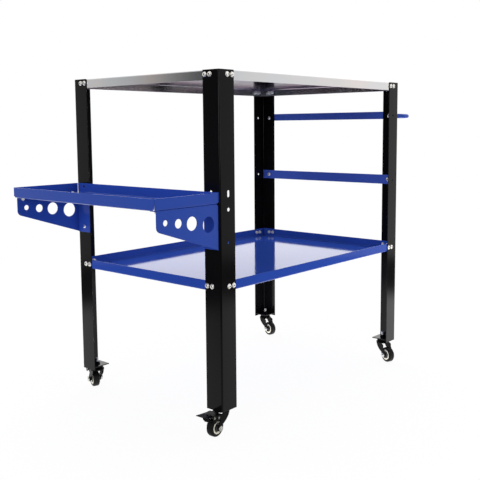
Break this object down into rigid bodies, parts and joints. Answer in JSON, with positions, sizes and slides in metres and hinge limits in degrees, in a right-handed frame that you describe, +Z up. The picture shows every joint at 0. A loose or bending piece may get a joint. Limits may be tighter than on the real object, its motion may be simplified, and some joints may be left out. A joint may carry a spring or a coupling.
{
  "type": "mobile welding table",
  "caption": "Steel table on swivel casters with pan top and shelf, angle legs, side tray on brackets with tool holes, rails and a push handle.",
  "frame": {"origin": "middle of the overall outline, at floor level, with the casters standing on the floor", "axes": "+X from the side tray towards the push handle, +Y from front to back, +Z up"},
  "size_m": [1.293, 0.6884, 0.986],
  "materials": {
    "leg_paint": "gloss black",
    "blue_paint": "gloss blue",
    "worktop_zinc": "zinc plated, slightly hazy",
    "fastener": "bright zinc plated",
    "fork_paint": "black, half gloss",
    "tyre": "hard black rubber",
    "hub_plastic": "cream, satin",
    "cap_plastic": "black, satin"
  },
  "bodies": {
    "frame": {"leg_front_left": "leg_paint", "leg_rear_left": "leg_paint", "leg_front_right": "leg_paint", "leg_rear_right": "leg_paint", "table_top": "worktop_zinc", "lower_shelf": "blue_paint", "side_tray": "blue_paint", "tray_bracket_front": "blue_paint", "tray_bracket_rear": "blue_paint", "bracket_flanges_front": "blue_paint", "bracket_flanges_rear": "blue_paint", "upper_rail": "blue_paint", "lower_rail": "blue_paint", "push_handle": "blue_paint", "top_bolts": "fastener", "top_nuts": "fastener", "shelf_bolts": "fastener", "shelf_nuts": "fastener", "tray_bolts": "fastener", "tray_nuts": "fastener", "rail_bolts": "fastener", "rail_nuts": "fastener", "caster_plates": "leg_paint", "stem_nuts": "fork_paint", "caster_head_front_left": "fork_paint", "caster_head_rear_left": "fork_paint", "caster_head_front_right": "fork_paint", "caster_head_rear_right": "fork_paint"},
    "fork_body_front_left": {"fork_front_left": "fork_paint", "axle_front_left": "fastener", "brake_pins_front_left": "fastener"},
    "wheel_front_left": {"tyre_front_left": "tyre", "hub_front_left": "hub_plastic", "hub_caps_front_left": "cap_plastic"},
    "brake_front_left": {"brake_pedal_front_left": "fork_paint", "brake_rivets_front_left": "fastener"},
    "fork_body_rear_left": {"fork_rear_left": "fork_paint", "axle_rear_left": "fastener", "brake_pins_rear_left": "fastener"},
    "wheel_rear_left": {"tyre_rear_left": "tyre", "hub_rear_left": "hub_plastic", "hub_caps_rear_left": "cap_plastic"},
    "brake_rear_left": {"brake_pedal_rear_left": "fork_paint", "brake_rivets_rear_left": "fastener"},
    "fork_body_front_right": {"fork_front_right": "fork_paint", "axle_front_right": "fastener"},
    "wheel_front_right": {"tyre_front_right": "tyre", "hub_front_right": "hub_plastic", "hub_caps_front_right": "cap_plastic"},
    "fork_body_rear_right": {"fork_rear_right": "fork_paint", "axle_rear_right": "fastener"},
    "wheel_rear_right": {"tyre_rear_right": "tyre", "hub_rear_right": "hub_plastic", "hub_caps_rear_right": "cap_plastic"}
  },
  "joints": [
    {"name": "swivel_front_left", "type": "hinge", "parent": "frame", "child": "fork_body_front_left", "pos_m": [-0.3875, -0.28961, 0.067], "axis": [0, 0, 1], "continuous": true},
    {"name": "wheel_spin_front_left", "type": "hinge", "parent": "fork_body_front_left", "child": "wheel_front_left", "pos_m": [-0.41746, -0.29118, 0.026], "axis": [0.0523, -0.9986, 0], "continuous": true},
    {"name": "brake_press_front_left", "type": "hinge", "parent": "fork_body_front_left", "child": "brake_front_left", "pos_m": [-0.42545, -0.2916, 0.059], "axis": [0.0523, -0.9986, 0], "range_deg": [0, 11.5]},
    {"name": "swivel_rear_left", "type": "hinge", "parent": "frame", "child": "fork_body_rear_left", "pos_m": [-0.3875, 0.25839, 0.067], "axis": [0, 0, 1], "continuous": true},
    {"name": "wheel_spin_rear_left", "type": "hinge", "parent": "fork_body_rear_left", "child": "wheel_rear_left", "pos_m": [-0.37675, 0.2864, 0.026], "axis": [-0.9336, 0.3584, 0], "continuous": true},
    {"name": "brake_press_rear_left", "type": "hinge", "parent": "fork_body_rear_left", "child": "brake_rear_left", "pos_m": [-0.37388, 0.29387, 0.059], "axis": [-0.9336, 0.3584, 0], "range_deg": [0, 11.5]},
    {"name": "swivel_front_right", "type": "hinge", "parent": "frame", "child": "fork_body_front_right", "pos_m": [0.4645, -0.28961, 0.067], "axis": [0, 0, 1], "continuous": true},
    {"name": "wheel_spin_front_right", "type": "hinge", "parent": "fork_body_front_right", "child": "wheel_front_right", "pos_m": [0.45375, -0.31762, 0.026], "axis": [0.9336, -0.3584, 0], "continuous": true},
    {"name": "swivel_rear_right", "type": "hinge", "parent": "frame", "child": "fork_body_rear_right", "pos_m": [0.4645, 0.25839, 0.067], "axis": [0, 0, 1], "continuous": true},
    {"name": "wheel_spin_rear_right", "type": "hinge", "parent": "fork_body_rear_right", "child": "wheel_rear_right", "pos_m": [0.45878, 0.22894, 0.026], "axis": [0.9816, -0.1908, 0], "continuous": true}
  ]
}
